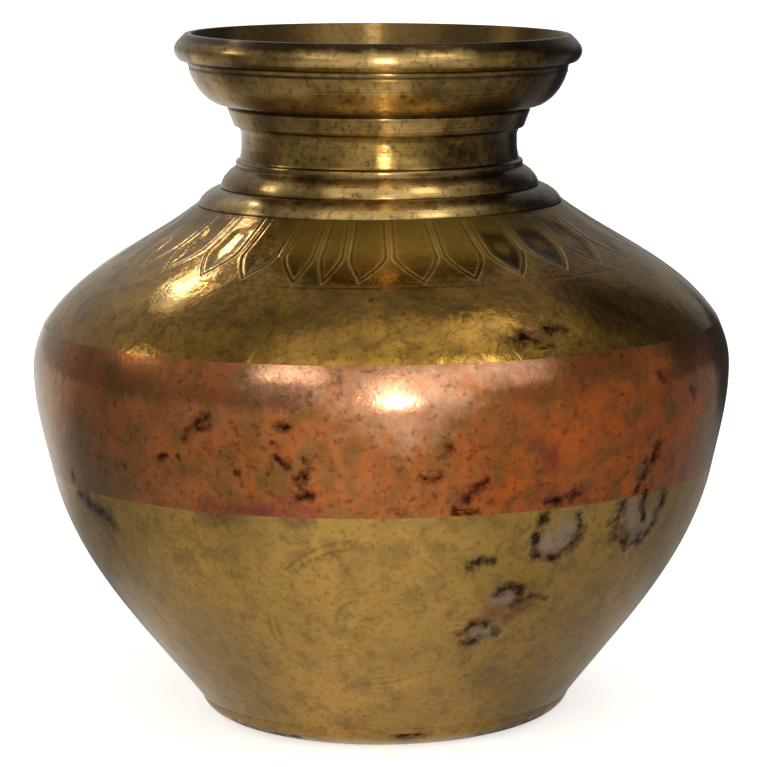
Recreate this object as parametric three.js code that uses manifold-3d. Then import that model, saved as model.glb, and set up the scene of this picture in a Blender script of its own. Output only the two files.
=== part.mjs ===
// A round-bellied water pot of two metals. A brass foot, bowl and shoulder hold a wide band of copper
// between them, and a turned brass neck with a cupped mouth stands on a collar ring at the top.
// Each sheet's edge is stepped inward and runs under the next sheet, and braze fills the step,
// so the outside is flush. Millimetres, +Z up, the middle of the flat base at the origin.
import * as THREE from "three";
import { mergeVertices } from "three/addons/utils/BufferGeometryUtils.js";
import Module from "manifold-3d";

const wasm = await Module();
wasm.setup();

// Beaten sheet and its lapped joints
const SHEET = 1.2;
const JOINT_GAP = 0.15;
const LAP_LENGTH = 6;
const STEP_LENGTH = 1.6;
const TOP_STEP_LENGTH = 2.7;

// Body, from the floor up. Each height starts where the one before ends.
const BASE_RADIUS = 49;
const FOOT_FLARE = 9.5;
const FOOT_HEIGHT = 7.2;
const BOWL_HEIGHT = 73.8;
const BELLY_RADIUS = 109.4;
const LOWER_SEAM_SETBACK = 5.1;
const BELLY_RISE = 31;
const UPPER_SEAM_SETBACK = 3.6;
const BAND_CROWN = 13.8;
const SHOULDER_HEIGHT = 36.5;
const CLOSING_SEAM_WIDTH = 1.6;

// Neck casting and collar ring, outward from the bore and upward from the shoulder
const BORE_RADIUS = 40.2;
const SPIGOT_WALL = 2.3;
const FLANGE_LIP = 4.5;
const FLANGE_THICKNESS = 2;
const NECK_BRAZE_LEG = 1.6;
const COLLAR_WIDTH = 14.6;
const COLLAR_HEIGHT = 5.3;
const COLLAR_SLOPE_WIDTH = 6.6;
const SHOULDER_LEDGE = 0.4;
const NECK_WALL = 2.9;
const BEAD_PROUD = 6.8;
const BEAD_HEIGHT = 7.2;
const BEAD_QUIRK = 1.1;
const NECK_HEIGHT = 11.4;
const FILLET_PROUD = 2.2;
const FILLET_FLARE = 2.1;
const FILLET_HEIGHT = 5.5;
const GROOVE_DEPTH = 0.7;
const GROOVE_WIDTH = 1.4;
const CUP_STEP = 7.8;
const CUP_FLARE = 8.6;
const CUP_HEIGHT = 14.3;
const CUP_WALL = 3;
const LIP_PROUD = 4.1;
const LIP_HANG = 0.8;
const LIP_CORNER_SETBACK = 1.7;
const LIP_SWELL = 3.1;
const LIP_HEIGHT = 7.4;
const LIP_LAND = 1.8;
const LIP_SLOPE_WIDTH = 3.5;

// Slopes of the outlines in degrees from level, measured as the outline climbs
const FOOT_SLOPES = [17, 77];
const BOWL_SLOPES = [52, 78];
const BELLY_SLOPES = [77, 90];
const CROWN_SLOPES = [90, 114];
const SHOULDER_SLOPES = [124, 143];
const COLLAR_SLOPES = [112, 165];
const BEAD_SLOPES = [112, 150];
const CUP_SLOPES = [25, 82];
const LIP_LOWER_SLOPES = [40, 90];
const LIP_UPPER_SLOPES = [90, 132];
const CURVE_PULL = 0.35;

// How finely the round shapes are cut into flats: flats round the axis, and the length of a flat
// along the body's outline and along the small mouldings
const AROUND = 48;
const BODY_FLAT = 7.5;
const TRIM_FLAT = 2.4;

// Points nearer than this are one point
const SAME_POINT = 1e-6;

const BRASS = new THREE.MeshStandardMaterial({ color: 0x8f7038, roughness: 0.34, metalness: 1 });
const CAST_BRASS = new THREE.MeshStandardMaterial({ color: 0x9c7b42, roughness: 0.28, metalness: 1 });
const COPPER = new THREE.MeshStandardMaterial({ color: 0xa8603a, roughness: 0.32, metalness: 1 });
const BRAZE = new THREE.MeshStandardMaterial({ color: 0xa3925c, roughness: 0.5, metalness: 1 });

// Heights and radii that follow from the sizes above
const FOOT_RADIUS = BASE_RADIUS + FOOT_FLARE;
const LOWER_SEAM_Z = FOOT_HEIGHT + BOWL_HEIGHT;
const BELLY_Z = LOWER_SEAM_Z + BELLY_RISE;
const UPPER_SEAM_Z = BELLY_Z + BAND_CROWN;
const SHOULDER_Z = UPPER_SEAM_Z + SHOULDER_HEIGHT;
const SPIGOT_RADIUS = BORE_RADIUS + SPIGOT_WALL;
const HOLE_RADIUS = SPIGOT_RADIUS + JOINT_GAP;
const COLLAR_RADIUS = SPIGOT_RADIUS + COLLAR_WIDTH;
const COLLAR_TOP_Z = SHOULDER_Z + COLLAR_HEIGHT;
const NECK_RADIUS = BORE_RADIUS + NECK_WALL;
const LAP_DEPTH = SHEET + JOINT_GAP;

const at = (radius, height) => new THREE.Vector2(radius, height);

// A smooth curve that leaves one point and reaches another at the two given slopes
function curve(from, to, [leave, arrive]) {
  const reach = from.distanceTo(to) * CURVE_PULL;
  const along = (slope) => at(reach, 0).rotateAround(at(0, 0), THREE.MathUtils.degToRad(slope));
  return new THREE.CubicBezierCurve(from, from.clone().add(along(leave)), to.clone().sub(along(arrive)), to);
}

// Stations along an outline between two lengths from its start: the point, the way that the outline
// climbs there, and how deep under the outline the sheet's outer face lies
function stations(path, start, end, flat, depth = 0) {
  const steps = Math.max(1, Math.round(Math.abs(end - start) / flat));
  return Array.from({ length: steps + 1 }, (_, i) => {
    const share = THREE.MathUtils.lerp(start, end, i / steps) / path.getLength();
    return { point: path.getPointAt(share), heading: path.getTangentAt(share), depth };
  });
}

const whole = (path, flat) => stations(path, 0, path.getLength(), flat);
const pointsOf = (path, flat) => whole(path, flat).map((station) => station.point);

// The point square inside a station. At a corner the heading is the mean of two, and so is shorter.
function insideOf({ point, heading, depth }, further = 0) {
  return at(-heading.y, heading.x).multiplyScalar((depth + further) / heading.lengthSq()).add(point);
}

// Two stations on one point, where two curves meet, become one corner
function withCorners(list) {
  const kept = [];
  for (const next of list) {
    const last = kept[kept.length - 1];
    const corner = last !== undefined && last.point.distanceTo(next.point) < SAME_POINT;
    if (corner) last.heading.lerp(next.heading, 0.5);
    else kept.push(next);
  }
  return kept;
}

// A closed outline, counter-clockwise, turned about the vertical axis
function turned(outline) {
  const points = THREE.ShapeUtils.isClockWise(outline) ? [...outline].reverse() : outline;
  const onAxis = points[0].x === 0 && points[points.length - 1].x === 0;
  const closed = onAxis ? points : [...points, points[0]];
  return new THREE.LatheGeometry(closed, AROUND).rotateX(Math.PI / 2);
}

// A piece of sheet that follows stations of the outline, with its thickness inside
function sheetPiece(list) {
  const course = withCorners(list);
  const outside = course.map((station) => insideOf(station));
  const inside = course.map((station) => insideOf(station, SHEET));
  return turned([...outside, ...inside.reverse()]);
}

function solidOf(geometry) {
  const bare = geometry.clone();
  bare.deleteAttribute("normal");
  bare.deleteAttribute("uv");
  const merged = mergeVertices(bare);
  return new wasm.Manifold(new wasm.Mesh({
    numProp: 3,
    vertProperties: merged.attributes.position.array,
    triVerts: new Uint32Array(merged.index.array),
  }));
}

function geometryOf(solid) {
  const mesh = solid.getMesh();
  const geometry = new THREE.BufferGeometry();
  geometry.setAttribute("position", new THREE.BufferAttribute(mesh.vertProperties, 3));
  geometry.setIndex(new THREE.BufferAttribute(mesh.triVerts, 1));
  geometry.computeVertexNormals();
  return geometry;
}

// The body's outline, one curve for each stretch between two seams
const base = new THREE.LineCurve(at(0, 0), at(BASE_RADIUS, 0));
const foot = curve(at(BASE_RADIUS, 0), at(FOOT_RADIUS, FOOT_HEIGHT), FOOT_SLOPES);
const bowl = curve(
  at(FOOT_RADIUS, FOOT_HEIGHT), at(BELLY_RADIUS - LOWER_SEAM_SETBACK, LOWER_SEAM_Z), BOWL_SLOPES);
const belly = curve(
  at(BELLY_RADIUS - LOWER_SEAM_SETBACK, LOWER_SEAM_Z), at(BELLY_RADIUS, BELLY_Z), BELLY_SLOPES);
const crown = curve(
  at(BELLY_RADIUS, BELLY_Z), at(BELLY_RADIUS - UPPER_SEAM_SETBACK, UPPER_SEAM_Z), CROWN_SLOPES);
const shoulder = curve(
  at(BELLY_RADIUS - UPPER_SEAM_SETBACK, UPPER_SEAM_Z), at(COLLAR_RADIUS + SHOULDER_LEDGE, SHOULDER_Z),
  SHOULDER_SLOPES);
const seat = new THREE.LineCurve(at(COLLAR_RADIUS + SHOULDER_LEDGE, SHOULDER_Z), at(HOLE_RADIUS, SHOULDER_Z));

// Foot cap: a flat base plate with a turned-up rim that cups the bottom of the bowl
function footCap() {
  return sheetPiece([
    ...whole(base, BASE_RADIUS),
    ...stations(foot, 0, foot.getLength() - STEP_LENGTH - JOINT_GAP, TRIM_FLAT),
  ]);
}

// Lower bowl: its bottom edge steps into the foot cap and its top edge steps in behind the copper
function lowerBowl() {
  const length = foot.getLength();
  return sheetPiece([
    ...stations(foot, length - LAP_LENGTH, length - STEP_LENGTH, TRIM_FLAT, LAP_DEPTH),
    ...whole(bowl, BODY_FLAT),
    ...stations(belly, STEP_LENGTH, LAP_LENGTH, BODY_FLAT, LAP_DEPTH),
  ]);
}

// Copper band: one strip bent into a ring, with a butt seam at the back that braze closes
function bandRing() {
  return solidOf(sheetPiece([
    ...stations(belly, STEP_LENGTH + JOINT_GAP, belly.getLength(), BODY_FLAT),
    ...whole(crown, BODY_FLAT),
    ...stations(shoulder, TOP_STEP_LENGTH, TOP_STEP_LENGTH + LAP_LENGTH, BODY_FLAT, LAP_DEPTH),
  ]));
}

// A slab that stands across the band's wall at the back, as wide as the seam or its braze
function seamSlab(width) {
  const height = UPPER_SEAM_Z + SHOULDER_HEIGHT;
  const slab = new THREE.BoxGeometry(width, BELLY_RADIUS, height);
  return solidOf(slab.translate(0, BELLY_RADIUS, height / 2));
}

// Shoulder dome: pressed from one disc, flattened at the top as a seat, with a hole for the neck
function shoulderDome() {
  return sheetPiece([
    ...stations(shoulder, TOP_STEP_LENGTH + JOINT_GAP, shoulder.getLength(), BODY_FLAT),
    ...whole(seat, seat.getLength()),
  ]);
}

// Collar ring: turned solid, flat on the shoulder's seat, with a sloping rounded face
function collarRing() {
  const face = curve(
    at(COLLAR_RADIUS, SHOULDER_Z), at(COLLAR_RADIUS - COLLAR_SLOPE_WIDTH, COLLAR_TOP_Z), COLLAR_SLOPES);
  return turned([
    at(HOLE_RADIUS, SHOULDER_Z),
    ...pointsOf(face, TRIM_FLAT),
    at(HOLE_RADIUS, COLLAR_TOP_Z),
  ]);
}

// Neck casting: spigot with a peened flange, bead, waist, fillet band, cup and rolled lip in one piece
function neckCasting() {
  const flangeTop = SHOULDER_Z - SHEET;
  const flangeBottom = flangeTop - FLANGE_THICKNESS;
  const beadTop = COLLAR_TOP_Z + BEAD_HEIGHT;
  const filletBottom = beadTop + NECK_HEIGHT;
  const filletTop = filletBottom + FILLET_HEIGHT;
  const cupBottom = filletTop + GROOVE_WIDTH;
  const cupTop = cupBottom + CUP_HEIGHT;
  const lipTop = cupTop + LIP_HEIGHT;
  const filletRadius = NECK_RADIUS + FILLET_PROUD;
  const grooveRadius = filletRadius + FILLET_FLARE - GROOVE_DEPTH;
  const cupRadius = NECK_RADIUS + CUP_STEP + CUP_FLARE;
  const lipRadius = cupRadius + LIP_PROUD;
  const mouthRadius = lipRadius - LIP_SLOPE_WIDTH - LIP_LAND;

  const bead = curve(
    at(NECK_RADIUS + BEAD_PROUD, COLLAR_TOP_Z), at(NECK_RADIUS + BEAD_QUIRK, beadTop), BEAD_SLOPES);
  const waist = new THREE.QuadraticBezierCurve(
    at(NECK_RADIUS + BEAD_QUIRK / 2, beadTop), at(NECK_RADIUS - BEAD_QUIRK / 2, (beadTop + filletBottom) / 2),
    at(NECK_RADIUS + BEAD_QUIRK / 2, filletBottom));
  const cup = curve(at(NECK_RADIUS + CUP_STEP, cupBottom), at(cupRadius, cupTop), CUP_SLOPES);
  const lipBottom = cupTop - LIP_HANG;
  const lipLower = curve(
    at(lipRadius - LIP_CORNER_SETBACK, lipBottom), at(lipRadius, lipBottom + LIP_SWELL), LIP_LOWER_SLOPES);
  const lipUpper = curve(
    at(lipRadius, lipBottom + LIP_SWELL), at(lipRadius - LIP_SLOPE_WIDTH, lipTop), LIP_UPPER_SLOPES);
  const throat = curve(at(BORE_RADIUS, filletTop - CUP_WALL), at(cupRadius - CUP_WALL, cupTop), CUP_SLOPES);

  return turned([
    at(BORE_RADIUS, flangeBottom),
    at(SPIGOT_RADIUS + FLANGE_LIP, flangeBottom),
    at(SPIGOT_RADIUS + FLANGE_LIP, flangeTop),
    at(SPIGOT_RADIUS, flangeTop),
    at(SPIGOT_RADIUS, COLLAR_TOP_Z),
    ...pointsOf(bead, TRIM_FLAT),
    ...pointsOf(waist, 2 * TRIM_FLAT),
    at(filletRadius, filletBottom),
    at(filletRadius + FILLET_FLARE, filletTop),
    at(grooveRadius, filletTop),
    at(grooveRadius, cupBottom),
    ...pointsOf(cup, 2 * TRIM_FLAT),
    ...pointsOf(lipLower, TRIM_FLAT),
    ...pointsOf(lipUpper, TRIM_FLAT).slice(1),
    at(mouthRadius, lipTop),
    ...pointsOf(throat, 2 * TRIM_FLAT).reverse(),
  ]);
}

// Braze ring: fills the wedge between a sheet's edge and the step of the sheet that runs under it.
// The wedge runs from a tip at the start of the step to the edge, where it is one sheet deep.
function seamBraze(path, tip, edge) {
  const clear = Math.sign(edge - tip) * 2 * JOINT_GAP;
  const [thin, thick] = stations(path, tip + clear, edge, Math.abs(edge - tip));
  return turned([thin.point, thick.point, insideOf(thick, SHEET)]);
}

// Neck joint braze: a fillet run round the flange inside the pot
function neckJointBraze() {
  const radius = SPIGOT_RADIUS + FLANGE_LIP + JOINT_GAP;
  const under = SHOULDER_Z - SHEET - JOINT_GAP;
  return turned([at(radius, under - NECK_BRAZE_LEG), at(radius + NECK_BRAZE_LEG, under), at(radius, under)]);
}

const pot = new THREE.Group();

function add(name, geometry, material) {
  const mesh = new THREE.Mesh(geometry, material);
  mesh.name = name;
  pot.add(mesh);
}

add("foot_cap", footCap(), BRASS);
add("lower_bowl", lowerBowl(), BRASS);
add("copper_band", geometryOf(bandRing().subtract(seamSlab(CLOSING_SEAM_WIDTH))), COPPER);
add("shoulder_dome", shoulderDome(), BRASS);
add("collar_ring", collarRing(), CAST_BRASS);
add("neck_casting", neckCasting(), CAST_BRASS);
add("foot_braze", seamBraze(foot, foot.getLength(), foot.getLength() - STEP_LENGTH), BRAZE);
add("lower_seam_braze", seamBraze(belly, 0, STEP_LENGTH), BRAZE);
add("upper_seam_braze", seamBraze(shoulder, 0, TOP_STEP_LENGTH), BRAZE);
add("band_closing_braze",
  geometryOf(bandRing().intersect(seamSlab(CLOSING_SEAM_WIDTH - 2 * JOINT_GAP))), BRAZE);
add("neck_joint_braze", neckJointBraze(), BRAZE);

export default pot;
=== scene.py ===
import itertools
import math
from types import SimpleNamespace

import bpy
import numpy as np
from mathutils import Matrix, Vector


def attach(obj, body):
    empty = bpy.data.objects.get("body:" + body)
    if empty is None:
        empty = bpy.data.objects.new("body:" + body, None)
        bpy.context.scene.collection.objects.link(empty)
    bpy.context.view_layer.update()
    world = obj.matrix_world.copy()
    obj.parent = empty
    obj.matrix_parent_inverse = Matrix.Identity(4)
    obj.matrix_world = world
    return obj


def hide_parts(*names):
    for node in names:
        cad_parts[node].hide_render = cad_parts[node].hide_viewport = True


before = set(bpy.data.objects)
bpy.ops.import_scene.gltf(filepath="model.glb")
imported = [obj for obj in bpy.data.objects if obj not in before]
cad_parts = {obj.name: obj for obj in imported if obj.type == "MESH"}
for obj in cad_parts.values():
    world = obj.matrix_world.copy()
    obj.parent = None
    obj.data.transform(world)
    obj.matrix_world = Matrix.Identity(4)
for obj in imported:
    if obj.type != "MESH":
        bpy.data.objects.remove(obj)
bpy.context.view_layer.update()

# A two-metal water pot, from the foot up. The room, lamps and floor are in metres, as Blender is. The
# pot's own sizes are in millimetres, and turn() makes them metres.

# Camera: a long lens at table height, as the pot was photographed, leaning a little as it was held.
camera_data = bpy.data.cameras.new("camera")
camera_data.lens = 168.6
camera_data.sensor_width = 36
camera = bpy.data.objects.new("camera", camera_data)
bpy.context.collection.objects.link(camera)
camera_side = 0.0005
camera_place = Vector((camera_side, -1.1205, 0.2768))
camera_aim = Vector((camera_side, 0, 0.1045))
camera_lean = math.radians(-0.62)
level_view = (camera_aim - camera_place).to_track_quat("-Z", "Y").to_matrix()
leaning_view = level_view @ Matrix.Rotation(camera_lean, 3, "Z")
camera.matrix_world = Matrix.Translation(camera_place) @ leaning_view.to_4x4()
bpy.context.scene.camera = camera
bpy.context.scene.view_settings.view_transform = "Standard"


def linear(hex_colour):
    """An sRGB hex colour as the linear values that shaders take."""
    parts = [int(hex_colour[i:i + 2], 16) / 255 for i in (1, 3, 5)]
    return tuple(p / 12.92 if p <= 0.04045 else ((p + 0.055) / 1.055) ** 2.4 for p in parts) + (1,)


def add_node(tree, kind, inputs=None, **settings):
    """Adds a node. settings are its properties, and inputs are values, or the sockets or nodes that feed it.
    A node given as an input feeds it from the first output that is in use."""
    made = tree.nodes.new(kind)
    for name, value in settings.items():
        setattr(made, name, value)
    for name, value in (inputs or {}).items():
        if isinstance(value, bpy.types.Node):
            value = next(output for output in value.outputs if output.enabled)
        if isinstance(value, bpy.types.NodeSocket):
            tree.links.new(value, made.inputs[name])
        else:
            made.inputs[name].default_value = value
    return made


# Room: soft daylight, white behind the pot. The metal mirrors its walls, so they are given by the
# direction that a ray leaves in: degrees round from the camera's side, and degrees up. Strengths are
# shares of white, and each patch lies over the ones before it.
world = bpy.data.worlds.new("pale room")
bpy.context.scene.world = world
world.use_nodes = True
room = world.node_tree
room.nodes.clear()
heading = add_node(room, "ShaderNodeTexCoord").outputs["Generated"]
to_right, to_back, to_ceiling = add_node(room, "ShaderNodeSeparateXYZ", {0: heading}).outputs
to_camera = add_node(room, "ShaderNodeMath", {0: to_back, 1: -1.0}, operation="MULTIPLY")
turned_by = add_node(room, "ShaderNodeMath", {0: to_right, 1: to_camera}, operation="ARCTAN2")
raised_by = add_node(room, "ShaderNodeMath", {0: to_ceiling}, operation="ARCSINE")
degrees_round, degrees_up = [
    add_node(room, "ShaderNodeMath", {0: radians}, operation="DEGREES") for radians in (turned_by, raised_by)]
room_strength = add_node(room, "ShaderNodeMapRange", {
    "Value": degrees_up, "From Min": 5.0, "From Max": 60.0, "To Min": 0.36, "To Max": 0.72})
for strength, across, up, feather in (
        (0.44, (-165, -62), (42, 78), 6),       # dim ceiling, left and behind
        (0.48, (-205, -135), (-30, 34), 6),     # wall behind, left
        (0.30, (150, 205), (-95, 44), 4),       # wall behind, right
        (0.62, (-205, -138), (28, 42), 2),      # wall under the blind
        (2.00, (-150, -131), (42.5, 48), 1.2),  # pale blind behind, left
        (0.80, (-154, -124), (47, 52), 2),      # its top
        (0.42, (112, 182), (54, 84), 8),        # dim ceiling, right and behind
        (0.22, (-122, -84), (-8, 20), 4),       # dark furniture, left
        (7.00, (-106, -90), (27, 36), 2),       # left window
        (1.50, (-56, 30), (51, 63), 4),         # pale wall over the camera
        (1.15, (-80, 100), (66, 85), 6),        # ceiling in front
        (4.20, (-44, -22), (30, 37), 2),        # front window, left
        (1.20, (-24, 38), (-14, 38), 6),        # glow round the key light
        (1.90, (0, 28), (10, 37), 4),           # its brightest part
        (1.40, (24, 56), (22, 34), 6),          # its edge, right
        (5.50, (31, 55), (42, 59), 3),          # front window, right
        (2.20, (56, 112), (63, 74), 4),         # light strip on the ceiling, right
        (0.26, (66, 116), (-14, 50), 6),        # dim wall, right
        (0.42, (44, 110), (-30, 16), 6),        # paler below
        (0.08, (112, 150), (-14, 52), 7),       # dark doorway, right
        (0.13, (104, 135), (-20, 7), 3),        # paler skirting before it
        (0.04, (142, 164), (-20, 7), 2)):       # dark foot of the door
    # One patch lies between two turns and two heights, and its edges are as soft as its feather.
    patch = None
    for angle, span in ((degrees_round, across), (degrees_up, up)):
        for edge, side in zip(span, (1, -1)):
            fade = add_node(room, "ShaderNodeMapRange", {
                "Value": angle, "From Min": edge - side * feather, "From Max": edge + side * feather},
                interpolation_type="SMOOTHSTEP")
            if patch is not None:
                fade = add_node(room, "ShaderNodeMath", {0: patch, 1: fade}, operation="MULTIPLY")
            patch = fade
    room_strength = add_node(room, "ShaderNodeMix", {"Factor": patch, "A": room_strength, "B": strength})
room_light = add_node(room, "ShaderNodeBackground", {"Color": linear("#f6f2ea"), "Strength": room_strength})
white_behind = add_node(room, "ShaderNodeBackground", {"Color": (1, 1, 1, 1), "Strength": 1.0})
room_seen = add_node(room, "ShaderNodeLightPath").outputs["Is Camera Ray"]
room_look = add_node(room, "ShaderNodeMixShader", {0: room_seen, 1: room_light, 2: white_behind})
add_node(room, "ShaderNodeOutputWorld", {"Surface": room_look})

# Lamps: plain rectangles that face the pot, as bright as a white wall times their brightness. Each has
# its turn from the camera and its height in degrees, then its distance, width and height in metres.
pot_middle = Vector((0, 0, 0.11))
for name, round_deg, up_deg, distance, width, height, brightness, colour in (
        ("key_light", 4, 8, 2.0, 0.22, 0.20, 53.0, "#fffaf6"),
        ("tall_window", 3, 14, 2.2, 0.22, 1.3, 2.2, "#fffaf6"),
        ("left_blind", -143, 45, 1.8, 0.17, 0.08, 20.0, "#fff6f0")):
    turned, up = math.radians(round_deg), math.radians(up_deg)
    towards = Vector((math.sin(turned) * math.cos(up), -math.cos(turned) * math.cos(up), math.sin(up)))
    lamp = bpy.data.lights.new(name, "AREA")
    lamp.shape = "RECTANGLE"
    lamp.size = width
    lamp.size_y = height
    lamp.energy = brightness * math.pi * width * height
    lamp.color = linear(colour)[:3]
    lamp_object = bpy.data.objects.new(name, lamp)
    bpy.context.collection.objects.link(lamp_object)
    lamp_object.location = pot_middle + towards * distance
    lamp_object.rotation_euler = (-towards).to_track_quat("-Z", "Y").to_euler()


def new_finish(name):
    """An empty material, and the tree that its nodes go into."""
    finish = bpy.data.materials.new(name)
    finish.use_nodes = True
    finish.node_tree.nodes.clear()
    return finish, finish.node_tree


# Floor: a pale matt board that keeps the pot's soft shadow. To all rays but the camera's it glows with
# painted light, which the metal mirrors and which lights the pot: the board round the pot, a painted sunlit
# patch in front, a darker floor past the board's edge, and the painted dark foot of a door behind.
floor_reach = 8
floor_corners = [(x * floor_reach, y * floor_reach, 0) for x, y in ((-1, -1), (1, -1), (1, 1), (-1, 1))]
floor_mesh = bpy.data.meshes.new("floor")
floor_mesh.from_pydata(floor_corners, [], [(0, 1, 2, 3)])
floor = bpy.data.objects.new("floor", floor_mesh)
bpy.context.collection.objects.link(floor)
floor_paint, board = new_finish("matt white board")
board_place = add_node(board, "ShaderNodeTexCoord").outputs["Object"]
board_sides = add_node(board, "ShaderNodeSeparateXYZ", {0: board_place}).outputs
board_right = board_sides["X"]
board_front = add_node(board, "ShaderNodeMath", {0: board_sides["Y"], 1: -1.0}, operation="MULTIPLY")
from_pot = add_node(board, "ShaderNodeVectorMath", {0: board_place}, operation="LENGTH")
turn_round = add_node(board, "ShaderNodeMath", {0: board_right, 1: board_front}, operation="ARCTAN2")
off_front = add_node(board, "ShaderNodeMath", {0: turn_round}, operation="ABSOLUTE")
rightward = add_node(board, "ShaderNodeMath", {0: board_right, 1: from_pot}, operation="DIVIDE")
door_turn = 2.62  # radians round from the front, to the right
from_door = add_node(board, "ShaderNodeMath", {0: turn_round, 1: door_turn}, operation="SUBTRACT")
off_door = add_node(board, "ShaderNodeMath", {0: from_door}, operation="ABSOLUTE")
# Each level changes between two values of a distance in metres, a turn in radians or a share to the right.
level = {}
for name, measure, start, end, at_start, at_end in (
        ("board edge", off_front, 0.7, 1.7, 0.21, 0.155),
        ("board", rightward, 0.35, 0.8, 0.66, 0.44),
        ("floor", off_front, 0.9, 1.7, 0.52, 0.25),
        ("behind, left", turn_round, -1.9, -2.3, 0.0, 1.0),
        ("paler far off", from_pot, 0.22, 0.4, 0.0, 0.5),
        ("door's width", off_door, 0.2, 0.28, 1.0, 0.0),
        ("door's foot", from_pot, 0.35, 0.55, 0.0, 1.0),
        ("sun from left", turn_round, -0.75, -0.3, 0.0, 1.0),
        ("sun to right", turn_round, 0.15, 0.6, 1.0, 0.0)):
    level[name] = add_node(board, "ShaderNodeMapRange", {
        "Value": measure, "From Min": start, "From Max": end, "To Min": at_start, "To Max": at_end})
on_board = add_node(board, "ShaderNodeMapRange", {
    "Value": from_pot, "From Min": 0.10, "From Max": level["board edge"], "To Min": 1.0, "To Max": 0.0})
by_door = add_node(board, "ShaderNodeMath", {
    0: level["door's width"], 1: level["door's foot"]}, operation="MULTIPLY")
sunlit = add_node(board, "ShaderNodeMath", {
    0: level["sun from left"], 1: level["sun to right"]}, operation="MULTIPLY")
painted_glow_level = add_node(board, "ShaderNodeMath", {
    0: level["behind, left"], 1: level["paler far off"], 2: level["floor"]}, operation="MULTIPLY_ADD")
for place, brightness in ((by_door, 0.04), (on_board, level["board"]), (sunlit, 0.88)):
    painted_glow_level = add_node(board, "ShaderNodeMix", {"Factor": place, "A": painted_glow_level, "B": brightness})
painted_glow_colour = add_node(board, "ShaderNodeMix", {
    "Factor": painted_glow_level, "A": (0, 0, 0, 1), "B": linear("#f0eee8")}, data_type="RGBA")
painted_glow_strength = add_node(board, "ShaderNodeMath", {0: painted_glow_level, 1: 0.36}, operation="MULTIPLY")
# The board's painted glow for rays other than the camera's, then the evenly white board that the camera sees.
board_looks = []
for colour, glow, strength in (
        (painted_glow_colour, linear("#fbf7ef"), painted_glow_strength),
        (linear("#f4f3f0"), (1, 1, 1, 1), 0.62)):
    matt = add_node(board, "ShaderNodeBsdfDiffuse", {"Color": colour})
    glowing = add_node(board, "ShaderNodeEmission", {"Color": glow, "Strength": strength})
    board_looks.append(add_node(board, "ShaderNodeAddShader", {0: matt, 1: glowing}))
board_seen = add_node(board, "ShaderNodeLightPath").outputs["Is Camera Ray"]
board_look = add_node(board, "ShaderNodeMixShader", {0: board_seen, 1: board_looks[0], 2: board_looks[1]})
add_node(board, "ShaderNodeOutputMaterial", {"Surface": board_look})
floor_mesh.materials.append(floor_paint)

# Foot cap: a shallow dish of sheet brass that the pot stands on, its rim turned up round the bowl.
# It was pressed over a stake and trimmed. Its rim laps the bowl, and braze fills the step at its edge.
sheet_gauge = 1.2
joint_gap = 0.15
lap_length = 6.0
step_length = 1.6
base_radius, foot_radius, foot_height = 49.0, 58.5, 7.2
widest_radius = 109


def curve(start, end, leave, arrive, points=60):
    """Points of a smooth curve in millimetres, radius and height, between two slopes in degrees."""
    pull = 0.35  # how far the curve keeps to each slope, as a share of its reach
    start, end = np.array(start, float), np.array(end, float)
    reach = np.hypot(*(end - start)) * pull
    leaving, arriving = [np.array([np.cos(slope), np.sin(slope)]) for slope in np.radians([leave, arrive])]
    near, far = start + reach * leaving, end - reach * arriving
    t = np.linspace(0, 1, points)[:, None]
    return (1 - t) ** 3 * start + 3 * (1 - t) ** 2 * t * near + 3 * (1 - t) * t ** 2 * far + t ** 3 * end


def lengths(path):
    """How far each point of a path lies from its start, in millimetres."""
    return np.concatenate([[0], np.cumsum(np.hypot(*np.diff(path, axis=0).T))])


def radius_at(path, along):
    """A path's radius at lengths from its start."""
    return np.interp(along, lengths(path), path[:, 0])


def height_at(path, along):
    """A path's height at lengths from its start."""
    return np.interp(along, lengths(path), path[:, 1])


def length_at(path, height):
    """How far from its start a path, which climbs, reaches a height."""
    return np.interp(height, np.maximum.accumulate(path[:, 1]), lengths(path))


def stretch(path, start, end, spacing):
    """A path's points between two lengths from its start, evenly spaced."""
    stations = np.linspace(start, end, max(2, int(round(abs(end - start) / spacing)) + 1))
    return np.stack([radius_at(path, stations), height_at(path, stations)], axis=1)


def all_of(path, spacing):
    """A whole path's points, evenly spaced."""
    return stretch(path, 0, lengths(path)[-1], spacing)


def inward(path):
    """The direction square to a path, towards the inside of the pot, at each point."""
    way = np.gradient(path, axis=0)
    way /= np.hypot(*way.T)[:, None]
    return np.stack([-way[:, 1], way[:, 0]], axis=1)


def smooth(value, low, high):
    """Rises from 0 to 1 between two values, gently at both ends."""
    t = np.clip((value - low) / (high - low), 0, 1)
    return t * t * (3 - 2 * t)


lattice_size = 32
lattice = np.random.default_rng(11).random((lattice_size,) * 3)


def lumps(spots, size):
    """Seeded noise between 0 and 1 at places in millimetres, in lumps of one size."""
    cell = spots / size + 100  # the pot lies well inside the noise, away from its origin
    low_corner = np.floor(cell).astype(int)
    t = smooth(cell - low_corner, 0, 1)
    total = 0
    for corner in itertools.product((0, 1), repeat=3):
        share = np.prod(np.where(corner, t, 1 - t), axis=-1)
        total = total + share * lattice[tuple(np.moveaxis((low_corner + corner) % lattice_size, -1, 0))]
    return total


neck_foot_height = 163.0
neck_tilt = math.tan(math.radians(0.8))
oval_by, three_sided_by = 0.16, 0.09
hammer_hollows = ((0.16, 21), (0.035, 8))  # depth and width, for the heavy hammer and the light one


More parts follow.
